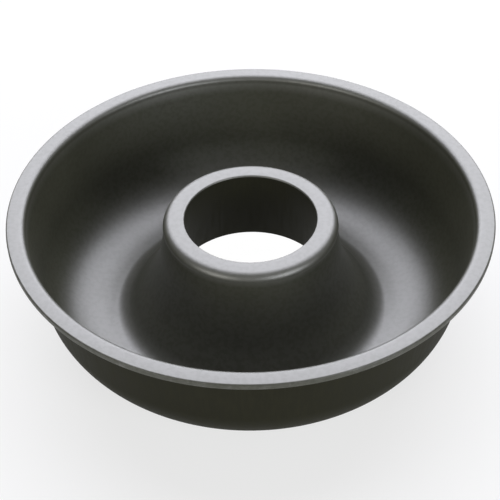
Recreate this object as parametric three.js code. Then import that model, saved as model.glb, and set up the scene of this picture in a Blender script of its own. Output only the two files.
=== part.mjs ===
// A ring cake pan pressed from dark coated steel sheet.
// A drawn shell makes the trough, its rim is folded over a wire, and a centre tube caps its cone.
// Millimetres, +Z up. The pan stands on z = 0 and is centred on the Z axis.

import * as THREE from 'three';

// The whole pan
const RIM_DIAMETER = 240; // over the folded edge
const PAN_HEIGHT = 67; // from the table to the top of the rim
const SEAT_GAP = 0.3; // between the cone and the tube that caps it

// The shell
const SHELL_SHEET = 0.6; // thickness
const MOUTH_DIAMETER = 222.3; // inside the wall, carried up to the top of the rim
const WALL_DRAFT = 7; // degrees from upright
const RIM_BEND = 3; // radius of the top face where the wall turns out
const FLOOR_CORNER = 33.5; // inside radius between the wall and the floor
const CONE_FOOT = 9.5; // inside radius between the floor and the cone
const CONE_SPREAD = 38; // degrees from upright, in the lower part of the cone
const KNEE_HEIGHT = 23.5; // from the table up to where the cone starts to spread
const KNEE_BEND = 50; // inside radius where it starts to spread
const CONE_DRAFT = 10; // degrees from upright, in the upper part
const CONE_TOP_DIAMETER = 85.3; // over the cone, carried up to its shelf
const CONE_SHOULDER = 3.2; // outside radius where the cone turns in
const SHELF_WIDTH = 5; // turned-in edge that the tube sits on

// The wire in the folded edge
const WIRE_DIAMETER = 1.4;
const WIRE_CLEARANCE = 0.3; // between the wire and the sheet around it
const FOLD_RADIUS = 0.9; // outside radius where the edge is folded around the wire

// The centre tube
const TUBE_SHEET = 0.6; // thickness
const RING_DROP = 9; // from the top of the rim down to the bright ring
const BORE_DIAMETER = 66.2; // inside the tube, carried up to the ring
const TUBE_DRAFT = 8.5; // degrees from upright
const TUBE_BEND = 0.9; // radius of the ring's inner edge
const TUBE_LIFT = 13.5; // from the table up to the tube's lower end
const LIP_LENGTH = 1; // straight edge that the ring turns down over the cone

// How finely round things are drawn
const TURNS = 60; // flats around the pan
const BEND_STEP = 18; // degrees between points on a tight bend
const BEND_SAG = 0.15; // how far a flat may stand off a wide bend
const WIRE_SIDES = 12;

const radians = THREE.MathUtils.degToRad;
const along = (heading) => new THREE.Vector2(Math.cos(heading), Math.sin(heading));
const leftOf = (heading) => along(heading + Math.PI / 2);

// Where a line that leans out from upright by some degrees crosses a level
function crossing(line, level) {
  return new THREE.Vector2(line.radius + (line.level - level) * Math.tan(radians(line.lean)), level);
}

// The same line, moved out from the axis by a distance square to it
function movedOut(line, distance) {
  return { ...line, radius: line.radius + distance / Math.cos(radians(line.lean)) };
}

// Where two such lines meet
function meeting(steep, shallow) {
  const spread = Math.tan(radians(shallow.lean)) - Math.tan(radians(steep.lean));
  const apart = shallow.radius - crossing(steep, shallow.level).x;
  return crossing(steep, shallow.level + apart / spread);
}

// An arc that leaves a place on the sheet and turns by an angle, to the left if it is positive
function bend(start, radius, turn) {
  const reach = radius * Math.sign(turn);
  const centre = leftOf(start.heading).multiplyScalar(reach).add(start.place);
  const step = Math.min(radians(BEND_STEP), 2 * Math.acos(1 - BEND_SAG / radius));
  const steps = Math.ceil(Math.abs(turn) / step);
  return Array.from({ length: steps }, (_, i) => {
    const heading = start.heading + (turn * (i + 1)) / steps;
    return { place: leftOf(heading).multiplyScalar(-reach).add(centre), heading };
  });
}

// The middle of a sheet that runs through its corners, with each corner rounded by its radius
function foldedSheet(corners) {
  const headings = corners.slice(1).map((corner, i) => corner.at.clone().sub(corners[i].at).angle());
  const middle = corners.slice(1, -1).flatMap((corner, i) => {
    const heading = headings[i];
    const turn = Math.atan2(Math.sin(headings[i + 1] - heading), Math.cos(headings[i + 1] - heading));
    const setback = corner.radius * Math.tan(Math.abs(turn) / 2);
    const start = { place: along(heading).multiplyScalar(-setback).add(corner.at), heading };
    return [start, ...bend(start, corner.radius, turn)];
  });
  const first = { place: corners[0].at, heading: headings[0] };
  const last = { place: corners.at(-1).at, heading: headings.at(-1) };
  return [first, ...middle, last];
}

// Both faces of a sheet of some thickness, as one closed outline
function sheetOutline(middle, thickness) {
  const face = (offset) =>
    middle.map(({ place, heading }) => leftOf(heading).multiplyScalar(offset).add(place));
  const outline = [...face(-thickness / 2), ...face(thickness / 2).reverse()];
  return [...outline, outline[0].clone()];
}

// An outline of radius and height, turned around the Z axis
function revolve(outline) {
  return new THREE.LatheGeometry(outline, TURNS).rotateX(Math.PI / 2);
}

// Levels and lines that the shell and the tube share, on the middle of each sheet
const wireReach = WIRE_DIAMETER / 2 + WIRE_CLEARANCE + SHELL_SHEET;
const wireCentre = new THREE.Vector2(RIM_DIAMETER / 2 - wireReach, PAN_HEIGHT - wireReach);
const ringLevel = PAN_HEIGHT - RING_DROP - TUBE_SHEET / 2;
const capGap = SHELL_SHEET / 2 + SEAT_GAP + TUBE_SHEET / 2;
const shelfLevel = ringLevel - capGap;
const coneFace = {
  radius: CONE_TOP_DIAMETER / 2,
  level: shelfLevel + SHELL_SHEET / 2,
  lean: CONE_DRAFT,
};
const coneLine = movedOut(coneFace, -SHELL_SHEET / 2);
const lipLine = movedOut(coneLine, capGap);
const shoulderRadius = CONE_SHOULDER - SHELL_SHEET / 2;

// The pressing that holds the cake: shelf, cone, floor, wall, flat rim and folded edge
function panShell() {
  const wallFace = { radius: MOUTH_DIAMETER / 2, level: PAN_HEIGHT, lean: -WALL_DRAFT };
  const wallLine = movedOut(wallFace, SHELL_SHEET / 2);
  const kneeRadius = crossing(coneFace, KNEE_HEIGHT).x;
  const spreadFace = { radius: kneeRadius, level: KNEE_HEIGHT, lean: CONE_SPREAD };
  const spreadLine = movedOut(spreadFace, -SHELL_SHEET / 2);
  const floorLevel = SHELL_SHEET / 2;
  const rimLevel = PAN_HEIGHT - SHELL_SHEET / 2;
  const shoulder = crossing(coneLine, shelfLevel);
  const foldReach = wireReach - SHELL_SHEET / 2;
  const besideWire = (out, up) => new THREE.Vector2(out, up).multiplyScalar(foldReach).add(wireCentre);
  const foldRadius = FOLD_RADIUS - SHELL_SHEET / 2;
  const middle = foldedSheet([
    { at: new THREE.Vector2(shoulder.x - SHELF_WIDTH, shelfLevel) },
    { at: shoulder, radius: shoulderRadius },
    { at: meeting(coneLine, spreadLine), radius: KNEE_BEND + SHELL_SHEET / 2 },
    { at: crossing(spreadLine, floorLevel), radius: CONE_FOOT + SHELL_SHEET / 2 },
    { at: crossing(wallLine, floorLevel), radius: FLOOR_CORNER + SHELL_SHEET / 2 },
    { at: crossing(wallLine, rimLevel), radius: RIM_BEND - SHELL_SHEET / 2 },
    { at: besideWire(1, 1), radius: foldRadius },
    { at: besideWire(1, -1), radius: foldRadius },
    { at: besideWire(-1, -1), radius: foldRadius },
    { at: besideWire(-1, 0) },
  ]);
  return revolve(sheetOutline(middle, SHELL_SHEET));
}

// The ring of wire that the edge of the rim is folded around
function rimWire() {
  const circle = Array.from({ length: WIRE_SIDES + 1 }, (_, i) =>
    along((2 * Math.PI * i) / WIRE_SIDES).multiplyScalar(WIRE_DIAMETER / 2).add(wireCentre));
  return revolve(circle);
}

// The tube through the cone, with its flat ring on the shelf and its lip turned down over the cone
function centreTube() {
  const boreFace = { radius: BORE_DIAMETER / 2, level: PAN_HEIGHT - RING_DROP, lean: TUBE_DRAFT };
  const boreLine = movedOut(boreFace, TUBE_SHEET / 2);
  const capCorner = crossing(lipLine, ringLevel);
  const capRadius = shoulderRadius + capGap;
  const capTurn = Math.PI / 2 - radians(CONE_DRAFT);
  const lipReach = capRadius * Math.tan(capTurn / 2) + LIP_LENGTH;
  const middle = foldedSheet([
    { at: crossing(boreLine, TUBE_LIFT) },
    { at: crossing(boreLine, ringLevel), radius: TUBE_BEND - TUBE_SHEET / 2 },
    { at: capCorner, radius: capRadius },
    { at: along(-capTurn).multiplyScalar(lipReach).add(capCorner) },
  ]);
  return revolve(sheetOutline(middle, TUBE_SHEET));
}

const nonStick = { color: '#35352f', roughness: 0.42, metalness: 0 };
const wireSteel = { color: '#8b8d90', roughness: 0.45, metalness: 1 };

const pan = new THREE.Group();
function addPiece(name, geometry, finish) {
  const piece = new THREE.Mesh(geometry, new THREE.MeshStandardMaterial(finish));
  piece.name = name;
  pan.add(piece);
}

addPiece('pan_shell', panShell(), nonStick);
addPiece('rim_wire', rimWire(), wireSteel);
addPiece('centre_tube', centreTube(), nonStick);

export default pan;
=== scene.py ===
import math

import bmesh
import bpy
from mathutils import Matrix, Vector


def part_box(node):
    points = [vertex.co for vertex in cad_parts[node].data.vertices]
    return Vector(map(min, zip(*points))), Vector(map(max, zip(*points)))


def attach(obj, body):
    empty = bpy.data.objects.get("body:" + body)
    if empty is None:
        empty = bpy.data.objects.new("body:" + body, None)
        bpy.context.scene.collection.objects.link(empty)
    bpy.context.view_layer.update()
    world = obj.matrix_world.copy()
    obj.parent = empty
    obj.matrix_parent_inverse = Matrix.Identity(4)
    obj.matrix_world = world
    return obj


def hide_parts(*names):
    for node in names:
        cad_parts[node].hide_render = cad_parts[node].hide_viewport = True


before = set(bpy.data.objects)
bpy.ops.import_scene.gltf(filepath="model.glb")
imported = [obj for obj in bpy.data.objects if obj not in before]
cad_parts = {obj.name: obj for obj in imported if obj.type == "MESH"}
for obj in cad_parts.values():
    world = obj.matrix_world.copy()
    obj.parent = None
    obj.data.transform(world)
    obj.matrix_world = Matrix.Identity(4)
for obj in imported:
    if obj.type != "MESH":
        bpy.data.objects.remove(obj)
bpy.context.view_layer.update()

# Pan shell: one disc of thin steel, drawn in a press into a round-bottomed trough with a hollow cone in
# its middle. The wall turns out into a flat rim, whose edge is folded over a wire, and the top of the
# cone turns in to a narrow shelf. A satin non-stick coat is baked on inside, and a dull one outside.
shell_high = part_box("pan_shell")[1]
tube_low, tube_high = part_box("centre_tube")
wire_low, wire_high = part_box("rim_wire")
rim_radius = shell_high.x
rim_height = shell_high.z
ring_height = tube_high.z
shell_sheet = 0.0006
tube_sheet = 0.0006
seat_gap = 0.0003
mouth_radius = 0.11115
wall_draft = math.radians(7)
rim_bend = 0.003
floor_corner = 0.0335
cone_foot = 0.0095
cone_spread = math.radians(38)
knee_height = 0.0235
knee_bend = 0.05
cone_draft = math.radians(10)
cone_top_radius = 0.04265
cone_shoulder = 0.0032
shelf_width = 0.005
fold_radius = 0.0009
edge_round = 0.0001
turns = 180
cap_gap = shell_sheet / 2 + seat_gap + tube_sheet / 2


class Paint:
    """A socket in a material. Sums written on it add Math nodes, and node() adds any other node."""

    def __init__(self, tree, socket=None):
        self.tree = tree
        self.socket = socket

    def node(self, kind, settings=None, sockets=None, out=0):
        """Adds a node, sets it up, then fills or links its sockets, and gives one of its outputs."""
        new = self.tree.nodes.new(kind)
        for name, value in (settings or {}).items():
            setattr(new, name, value)
        for name, value in (sockets or {}).items():
            if isinstance(value, Paint):
                self.tree.links.new(value.socket, new.inputs[name])
            else:
                new.inputs[name].default_value = value
        return Paint(self.tree, new.outputs[out] if new.outputs else None)

    def sum(self, operation, first, second):
        return self.node("ShaderNodeMath", {"operation": operation}, {0: first, 1: second})

    def __add__(self, other):
        return self.sum("ADD", self, other)

    def __radd__(self, other):
        return self.sum("ADD", other, self)

    def __sub__(self, other):
        return self.sum("SUBTRACT", self, other)

    def __rsub__(self, other):
        return self.sum("SUBTRACT", other, self)

    def __mul__(self, other):
        return self.sum("MULTIPLY", self, other)

    def __rmul__(self, other):
        return self.sum("MULTIPLY", other, self)

    def __pow__(self, other):
        return self.sum("POWER", self, other)

    def ramp(self, low, high):
        """Goes smoothly from 0 where this value is low to 1 where it is high."""
        return self.node(
            "ShaderNodeMapRange",
            {"interpolation_type": "SMOOTHSTEP"},
            {"Value": self, "From Min": low, "From Max": high},
        )

    def mix(self, first, second):
        """A colour between two colours, by this value."""
        return self.node(
            "ShaderNodeMix", {"data_type": "RGBA"}, {0: self, 6: first, 7: second}, out=2
        )

    def parts(self):
        """The X, Y and Z of a place."""
        split = self.node("ShaderNodeSeparateXYZ", sockets={0: self}).socket.node.outputs
        return [Paint(self.tree, part) for part in split]

    def radius(self):
        """The distance of a place from the Z axis."""
        across, along, _ = self.parts()
        return (across * across + along * along) ** 0.5

    def noise(self, size, detail=2.0, roughness=0.5):
        """Soft random patches of about a given size, in metres, from 0 to 1, at this place."""
        return self.node(
            "ShaderNodeTexNoise",
            {"noise_dimensions": "3D"},
            {"Vector": self, "Scale": 1 / size, "Detail": detail, "Roughness": roughness},
        )


def new_finish(name):
    """Starts an empty material and gives it with its object coordinates."""
    material = bpy.data.materials.new(name)
    material.use_nodes = True
    material.node_tree.nodes.clear()
    return material, Paint(material.node_tree).node("ShaderNodeTexCoord", out="Object")


inner_colour = (0.0318, 0.0326, 0.0184, 1)
inner_light_colour = (0.0390, 0.0400, 0.0239, 1)
fleck_colour = (0.075, 0.075, 0.07, 1)
worn_colour = (0.16, 0.155, 0.145, 1)

inner_coat, place = new_finish("satin_non_stick_coat")
radius = place.radius()
height = place.parts()[2]
cloud = place.noise(size=0.035, detail=3.0)
peel = place.noise(size=0.0011)
grain = place.noise(size=0.00035, detail=1.0)
fleck = grain.ramp(0.70, 0.78) * place.noise(size=0.004).ramp(0.45, 0.6)
edge_starts = rim_radius - 0.0009
edge_full = rim_radius - 0.0001
rim_edge = radius.ramp(edge_starts, edge_full)
worn = rim_edge * place.noise(size=0.006, detail=4.0, roughness=0.65).ramp(0.52, 0.75) * 0.5
colour = cloud.ramp(0.3, 0.75).mix(inner_colour, inner_light_colour)
colour = worn.mix(fleck.mix(colour, fleck_colour), worn_colour)
inner_gloss = 0.41
inner_index = 2.66
bump = place.node(
    "ShaderNodeBump",
    sockets={"Strength": 0.12, "Distance": 0.00004, "Height": peel + 0.3 * grain},
)
satin = place.node(
    "ShaderNodeBsdfPrincipled",
    sockets={
        "Base Color": colour,
        "Roughness": inner_gloss + 0.05 * cloud + 0.05 * grain - 0.06 * worn,
        "Normal": bump,
        "IOR": inner_index,
    },
)

# The sprayed coat lies thinner on the steep faces and tight bends, and is drier and duller there.
dry_gloss = 0.5
dry_index = 1.52
wall_dryness = 0.8
cone_dryness = 0.7
edge_dryness = 0.8
bend_dryness = 0.45
mottle_dryness = 0.09
wall_starts = mouth_radius - 0.02
wall_full = mouth_radius - 0.008
wall_top_full = rim_height - 0.01
cone_starts = mouth_radius - 0.0425
cone_full = mouth_radius - 0.045
cone_bottom = 0.002
cone_bottom_full = 0.009
cone_top = ring_height - 0.004
cone_top_full = ring_height - 0.008
bend_top = rim_height - 0.001
bend_top_full = rim_height - 0.0022
bend_bottom = rim_height - 0.0045
bend_full = rim_height - rim_bend
flat_rim = rim_radius - 0.003
inside_rim = rim_radius - 0.005
dry = place.node(
    "ShaderNodeBsdfPrincipled",
    sockets={
        "Base Color": colour,
        "Roughness": dry_gloss + 0.05 * cloud + 0.05 * grain,
        "Normal": bump,
        "IOR": dry_index,
    },
)
on_wall = radius.ramp(wall_starts, wall_full) * height.ramp(bend_full, wall_top_full)
on_cone = radius.ramp(cone_starts, cone_full) * height.ramp(cone_bottom, cone_bottom_full)
on_cone = on_cone * height.ramp(cone_top, cone_top_full)
on_bend = height.ramp(bend_top, bend_top_full) * height.ramp(bend_bottom, bend_full)
on_bend = on_bend * radius.ramp(flat_rim, inside_rim)
mottle = place.noise(size=0.0024, detail=3.0).ramp(0.42, 0.62)
dryness = wall_dryness * on_wall + cone_dryness * on_cone + edge_dryness * rim_edge
dryness = dryness + bend_dryness * on_bend + mottle_dryness * mottle
surface = place.node("ShaderNodeMixShader", sockets={0: dryness, 1: satin, 2: dry})
place.node("ShaderNodeOutputMaterial", sockets={"Surface": surface})

outer_colour = (0.0165, 0.0163, 0.0088, 1)
outer_light_colour = (0.0225, 0.0222, 0.0128, 1)

outer_coat, place = new_finish("dull_outer_coat")
cloud = place.noise(size=0.028, detail=3.0)
grain = place.noise(size=0.0006, detail=2.0)
upright = place.node("ShaderNodeMapping", sockets={"Vector": place, "Scale": (1, 1, 0.05)})
draw_mark = upright.noise(size=0.0016, detail=3.0, roughness=0.6).ramp(0.35, 0.7)
bump = place.node("ShaderNodeBump", sockets={"Strength": 0.2, "Distance": 0.00005, "Height": grain})
outer_gloss = 0.5
outer_index = 1.15
surface = place.node(
    "ShaderNodeBsdfPrincipled",
    sockets={
        "Base Color": (0.6 * cloud + 0.4 * draw_mark).ramp(0.2, 0.8).mix(outer_colour, outer_light_colour),
        "Roughness": outer_gloss + 0.06 * cloud + 0.06 * grain + 0.08 * draw_mark,
        "Normal": bump,
        "IOR": outer_index,
    },
)
place.node("ShaderNodeOutputMaterial", sockets={"Surface": surface})


def start_ring(name, radius, height):
    """Starts a piece as one ring of edges, ready to be pulled out in edit mode."""
    bpy.ops.object.select_all(action="DESELECT")
    bpy.ops.mesh.primitive_circle_add(vertices=turns, radius=radius, location=(0, 0, 0))
    piece = bpy.context.object
    piece.name = name
    piece.data.materials.append(inner_coat)
    piece.data.materials.append(outer_coat)
    bpy.ops.object.mode_set(mode="EDIT")
    bpy.ops.mesh.select_mode(type="EDGE")
    bpy.ops.mesh.select_all(action="SELECT")
    bpy.ops.transform.translate(value=(0, 0, height))
    return piece


def pull_ring(radius, height):
    """Extrudes the selected ring of edges to a ring of another radius and height."""
    mesh = bmesh.from_edit_mesh(bpy.context.edit_object.data)
    point = next(vert.co for vert in mesh.verts if vert.select)
    grow = radius / point.xy.length
    rise = height - point.z
    bpy.ops.mesh.extrude_region_move(TRANSFORM_OT_translate={"value": (0, 0, rise)})
    bpy.ops.transform.resize(value=(grow, grow, 1), center_override=(0, 0, height))


def round_fold(radius, height, bend, turn, segments):
    """Rounds the ring of edges at a sharp fold, whose sheet turns by an angle, to a bend radius."""
    near = 1e-5
    bpy.ops.mesh.select_all(action="DESELECT")
    mesh = bmesh.from_edit_mesh(bpy.context.edit_object.data)
    for edge in mesh.edges:
        ends = [(vert.co.xy.length - radius, vert.co.z - height) for vert in edge.verts]
        edge.select_set(all(abs(out) < near and abs(up) < near for out, up in ends))
    bmesh.update_edit_mesh(bpy.context.edit_object.data)
    setback = bend * math.tan(turn / 2)
    bpy.ops.mesh.bevel(offset=setback, segments=segments, profile=0.5, affect="EDGES")


def finish_sheet(piece, sheet, edge_round):
    """Gives a folded sheet its thickness and a coat on each face, and eases its cut edges."""
    bpy.ops.mesh.select_all(action="SELECT")
    bpy.ops.mesh.normals_make_consistent(inside=False)
    mesh = bmesh.from_edit_mesh(piece.data)
    highest = max(mesh.faces, key=lambda face: face.calc_center_median().z)
    if highest.normal.z < 0:
        bpy.ops.mesh.flip_normals()
    bpy.ops.object.mode_set(mode="OBJECT")
    wall = piece.modifiers.new("sheet thickness", "SOLIDIFY")
    wall.thickness = sheet
    wall.offset = 0
    wall.use_even_offset = True
    wall.material_offset = 1
    bpy.ops.object.modifier_apply(modifier=wall.name)
    eased = piece.modifiers.new("eased cut edges", "BEVEL")
    eased.width = edge_round
    eased.segments = 2
    eased.limit_method = "ANGLE"
    eased.angle_limit = math.radians(60)
    bpy.ops.object.modifier_apply(modifier=eased.name)
    bpy.ops.object.shade_smooth_by_angle(angle=math.radians(40))


shelf_level = ring_height - tube_sheet / 2 - cap_gap
floor_level = shell_sheet / 2
rim_level = rim_height - shell_sheet / 2
steep, shallow = math.tan(cone_draft), math.tan(cone_spread)
cone_line = cone_top_radius - shell_sheet / 2 / math.cos(cone_draft) + shell_sheet / 2 * steep
knee_face = cone_top_radius + (shelf_level + shell_sheet / 2 - knee_height) * steep
spread_line = knee_face - shell_sheet / 2 / math.cos(cone_spread)
knee_level = spread_line + knee_height * shallow - cone_line - shelf_level * steep
knee_level = knee_level / (shallow - steep)
knee_reach = cone_line + (shelf_level - knee_level) * steep
foot_reach = spread_line + (knee_height - floor_level) * shallow
wall_line = mouth_radius + shell_sheet / 2 / math.cos(wall_draft)
wall_reach = wall_line - (rim_height - floor_level) * math.tan(wall_draft)
rim_reach = wall_line - (rim_height - rim_level) * math.tan(wall_draft)
wire_level = (wire_low.z + wire_high.z) / 2
wire_radius = (wire_high.x - wire_low.x) / 2 - (wire_high.z - wire_low.z) / 2
fold_reach = rim_level - wire_level
shoulder_turn = math.pi / 2 - cone_draft
foot_turn = math.pi / 2 - cone_spread
wall_turn = math.pi / 2 - wall_draft

shell = start_ring("coated_pan_shell", cone_line - shelf_width, shelf_level)
pull_ring(cone_line, shelf_level)
pull_ring(knee_reach, knee_level)
pull_ring(foot_reach, floor_level)
pull_ring(wall_reach, floor_level)
pull_ring(rim_reach, rim_level)
pull_ring(wire_radius + fold_reach, rim_level)
pull_ring(wire_radius + fold_reach, wire_level - fold_reach)
pull_ring(wire_radius - fold_reach, wire_level - fold_reach)
pull_ring(wire_radius - fold_reach, wire_level)
round_fold(cone_line, shelf_level, cone_shoulder - shell_sheet / 2, shoulder_turn, segments=10)
round_fold(knee_reach, knee_level, knee_bend + shell_sheet / 2, cone_spread - cone_draft, segments=12)
round_fold(foot_reach, floor_level, cone_foot + shell_sheet / 2, foot_turn, segments=16)
round_fold(wall_reach, floor_level, floor_corner + shell_sheet / 2, wall_turn, segments=32)
round_fold(rim_reach, rim_level, rim_bend - shell_sheet / 2, wall_turn, segments=10)
for out, up in ((1, 1), (1, -1), (-1, -1)):
    round_fold(
        wire_radius + out * fold_reach,
        wire_level + up * fold_reach,
        fold_radius - shell_sheet / 2,
        math.pi / 2,
        segments=6,
    )
finish_sheet(shell, shell_sheet, edge_round)
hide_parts("pan_shell")
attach(shell, "root")

# Rim wire: a ring of drawn mild steel wire. It is laid under the rim before the edge is folded over it,
# and stiffens the rim. The fold hides it, so its CAD solid stays and only gets the finish of bare wire.
wire_colour = (0.30, 0.30, 0.31, 1)
oxide_colour = (0.16, 0.14, 0.12, 1)

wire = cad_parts["rim_wire"]
wire_finish, place = new_finish("drawn_wire")
dull = place.noise(size=0.004, detail=4.0, roughness=0.6).ramp(0.45, 0.7)
surface = place.node(
    "ShaderNodeBsdfPrincipled",
    sockets={
        "Base Color": dull.mix(wire_colour, oxide_colour),
        "Metallic": 1 - 0.4 * dull,
        "Roughness": 0.35 + 0.2 * dull + 0.1 * place.noise(size=0.0003),
    },
)
place.node("ShaderNodeOutputMaterial", sockets={"Surface": surface})
wire.data.materials.clear()
wire.data.materials.append(wire_finish)

# Centre tube: a slightly tapered tube of the same sheet, which lets hot air up through the middle of the
# cake. Its top turns out into a ring that sits on the shelf of the cone, and the edge of the ring is
# turned down over the shoulder of the cone. Its ring has the satin coat, and its bore the dull one.
bore_radius = 0.0331
tube_draft = math.radians(8.5)
tube_bend = 0.0009
tube_lift = tube_low.z
lip_length = 0.001

ring_level = ring_height - tube_sheet / 2
bore_line = bore_radius + tube_sheet / 2 / math.cos(tube_draft)
bore_line += tube_sheet / 2 * math.tan(tube_draft)
bore_reach = bore_line + (ring_level - tube_lift) * math.tan(tube_draft)
bore_turn = math.pi / 2 - tube_draft
cap_line = cone_line + cap_gap / math.cos(cone_draft) - cap_gap * math.tan(cone_draft)
cap_bend = cone_shoulder - shell_sheet / 2 + cap_gap
lip_reach = cap_bend * math.tan(shoulder_turn / 2) + lip_length

tube = start_ring("coated_centre_tube", bore_reach, tube_lift)
pull_ring(bore_line, ring_level)
pull_ring(cap_line, ring_level)
pull_ring(
    cap_line + lip_reach * math.sin(cone_draft),
    ring_level - lip_reach * math.cos(cone_draft),
)
round_fold(bore_line, ring_level, tube_bend - tube_sheet / 2, bore_turn, segments=8)
round_fold(cap_line, ring_level, cap_bend, shoulder_turn, segments=14)
bpy.ops.mesh.select_all(action="DESELECT")
mesh = bmesh.from_edit_mesh(tube.data)
for face in mesh.faces:
    middle = face.calc_center_median()
    face.select_set(middle.xy.length < bore_reach and middle.z < ring_level - tube_bend)
bmesh.update_edit_mesh(tube.data)
tube.active_material_index = 1
bpy.ops.object.material_slot_assign()
finish_sheet(tube, tube_sheet, edge_round)
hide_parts("centre_tube")
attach(tube, "root")

# Floor: a plain white table top under the pan. Part of its brightness is its own to the camera and in
# reflections, so that it stays white while it still takes the pan's shadow. Under the hole its own white
# is
# full: a painted pool of light that covers the shade inside the pan's hollow.
floor_colour = (0.86, 0.86, 0.86, 1)
own_white = 0.7
# The painted pool of light under the hole: its radius and its soft edge.
painted_light_radius = 0.056
painted_light_fade = 0.003
floor_side = 40

bpy.ops.object.select_all(action="DESELECT")
bpy.ops.mesh.primitive_plane_add(size=floor_side, location=(0, 0, 0))
floor = bpy.context.object
floor.name = "table_top"

table_finish, place = new_finish("white_table")
rays = place.node("ShaderNodeLightPath").socket.node.outputs
seen = sum(
    Paint(place.tree, rays[name])
    for name in ("Is Camera Ray", "Is Glossy Ray", "Is Transmission Ray")
).ramp(0, 1)
# Painted light: a disc of full own white under the hole hides the shade inside the pan's hollow.
painted_light_under_hole = place.radius().ramp(painted_light_radius + painted_light_fade, painted_light_radius)
lit = place.node("ShaderNodeBsdfDiffuse", sockets={"Color": floor_colour})
glow = place.node("ShaderNodeEmission", sockets={"Color": (1, 1, 1, 1), "Strength": 1})
share = seen * (own_white + (1 - own_white) * painted_light_under_hole)
blend = place.node("ShaderNodeMixShader", sockets={0: share, 1: lit, 2: glow})
place.node("ShaderNodeOutputMaterial", sockets={"Surface": blend})
floor.data.materials.append(table_finish)

# Light: one large round soft box above and behind the pan, which the flat rim, the ring and the floor of
# the trough mirror to the camera, a low weak one under it, two small ones at the front, and a dim room.
cool_white = (0.98, 0.985, 1.06)
warm_white = (1.0, 0.99, 0.92)
sky_white = (0.96, 0.98, 1.0)


def soft_box(name, azimuth, elevation, distance, width, depth, brightness, colour):
    """A soft box in a direction seen from the pan, in degrees from straight behind it, facing the pan."""
    turn, rise = math.radians(azimuth), math.radians(elevation)
    way = Vector((
        math.sin(turn) * math.cos(rise),
        math.cos(turn) * math.cos(rise),
        math.sin(rise),
    ))
    bpy.ops.object.light_add(type="AREA", location=way * distance + Vector((0, 0, rim_height)))
    box = bpy.context.object
    box.name = name
    box.rotation_euler = way.to_track_quat("Z", "Y").to_euler()
    box.data.shape = "ELLIPSE"
    box.data.size = width
    box.data.size_y = depth
    box.data.energy = brightness * math.pi * math.pi / 4 * width * depth
    box.data.color = colour


soft_box(
    "back_box",
    azimuth=2, elevation=48, distance=1.4, width=2.5, depth=2.3,
    brightness=2.4, colour=cool_white,
)
soft_box(
    "low_back_box",
    azimuth=4, elevation=30, distance=1.5, width=2.2, depth=0.75,
    brightness=1.16, colour=cool_white,
)
soft_box(
    "left_box",
    azimuth=-140, elevation=17, distance=1.2, width=0.8, depth=0.6,
    brightness=3.0, colour=warm_white,
)
soft_box(
    "right_box",
    azimuth=140, elevation=17, distance=1.2, width=0.8, depth=0.6,
    brightness=4.9, colour=sky_white,
)

room_light = 0.18
room = bpy.data.worlds.new("room")
bpy.context.scene.world = room
room.use_nodes = True
room.node_tree.nodes.clear()
paint = Paint(room.node_tree)
walls = paint.node(
    "ShaderNodeBackground", sockets={"Color": (1, 1, 1, 1), "Strength": room_light}
)
paint.node("ShaderNodeOutputWorld", sockets={"Surface": walls})

# Camera: in front of the pan, looking down at it with a long lens, and rolled a little. It aims below
# the middle of the rim, so that the whole pan is in the frame.
view_rise = math.radians(41.9)
view_roll = math.radians(0.86)
view_distance = 4.948 * rim_radius
aim_right = -0.0042 * rim_radius
aim_up = -0.1932 * rim_radius
lens = 86.4

ahead = Vector((0, math.cos(view_rise), -math.sin(view_rise)))
upward = Vector((0, math.sin(view_rise), math.cos(view_rise)))
rim_centre = Vector((0, 0, rim_height))
stand = rim_centre - view_distance * ahead + aim_right * Vector((1, 0, 0)) + aim_up * upward
bpy.ops.object.camera_add(location=stand)
camera = bpy.context.object
camera.rotation_mode = "ZYX"
camera.rotation_euler = (math.pi / 2 - view_rise, 0, -view_roll)
camera.data.lens = lens
camera.data.sensor_width = 36
bpy.context.scene.camera = camera
bpy.context.scene.view_settings.view_transform = "Standard"
